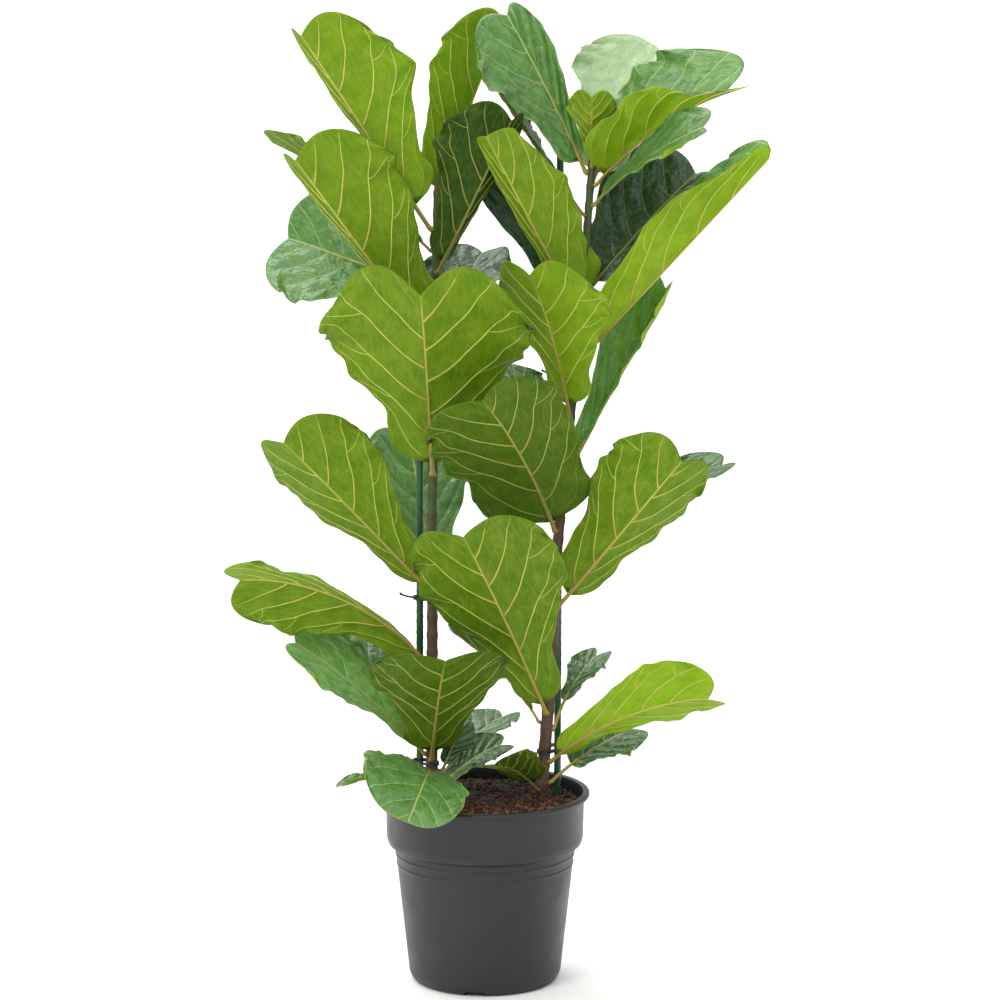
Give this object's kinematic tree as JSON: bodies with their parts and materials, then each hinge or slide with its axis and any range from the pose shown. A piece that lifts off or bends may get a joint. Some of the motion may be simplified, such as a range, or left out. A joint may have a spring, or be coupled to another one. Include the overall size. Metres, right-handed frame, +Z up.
{
  "type": "potted fiddle leaf fig",
  "caption": "Tall upright houseplant with large leathery fiddle-shaped leaves on staked woody stems, growing in a tapered round nursery pot.",
  "frame": {"origin": "middle of the pot's base, on the surface that the pot stands on", "axes": "+Z up along the pot's axis, +X to the plant's right and -Y to its front, as seen from the front"},
  "size_m": [0.6029, 0.308, 1.1118],
  "materials": {
    "pot_plastic": "grey-black injection-moulded polypropylene, satin-matt",
    "potting_soil": "loose dark peat with reddish-brown coir crumbs",
    "bark": "brown woody bark, greener towards the top, with leaf scars",
    "coated_steel": "dark green plastic coating, semi-gloss",
    "tie_wire": "black plastic-coated wire, satin",
    "leaf": "leathery leaf, glossy dark green above, matt yellow-green below with raised pale veins"
  },
  "bodies": {
    "root": {"pot": "pot_plastic", "soil": "potting_soil", "left_stem": "bark", "right_stem": "bark", "left_stake": "coated_steel", "right_stake": "coated_steel", "left_tie_lower": "tie_wire", "left_tie_upper": "tie_wire", "right_tie_lower": "tie_wire", "right_tie_upper": "tie_wire", "left_leaf_01": "leaf", "left_leaf_02": "leaf", "left_leaf_03": "leaf", "left_leaf_04": "leaf", "left_leaf_05": "leaf", "left_leaf_06": "leaf", "left_leaf_07": "leaf", "left_leaf_08": "leaf", "left_leaf_09": "leaf", "left_leaf_10": "leaf", "left_leaf_11": "leaf", "left_leaf_12": "leaf", "left_leaf_13": "leaf", "left_leaf_14": "leaf", "left_leaf_15": "leaf", "left_leaf_16": "leaf", "left_leaf_17": "leaf", "left_leaf_18": "leaf", "left_leaf_19": "leaf", "right_leaf_01": "leaf", "right_leaf_02": "leaf", "right_leaf_03": "leaf", "right_leaf_04": "leaf", "right_leaf_05": "leaf", "right_leaf_06": "leaf", "right_leaf_07": "leaf", "right_leaf_08": "leaf", "right_leaf_09": "leaf", "right_leaf_10": "leaf", "right_leaf_11": "leaf", "right_leaf_12": "leaf", "right_leaf_13": "leaf", "right_leaf_14": "leaf", "right_leaf_15": "leaf", "right_leaf_16": "leaf", "right_leaf_17": "leaf", "right_leaf_18": "leaf", "right_leaf_19": "leaf", "right_leaf_20": "leaf", "right_leaf_21": "leaf", "right_leaf_22": "leaf"}
  },
  "joints": []
}
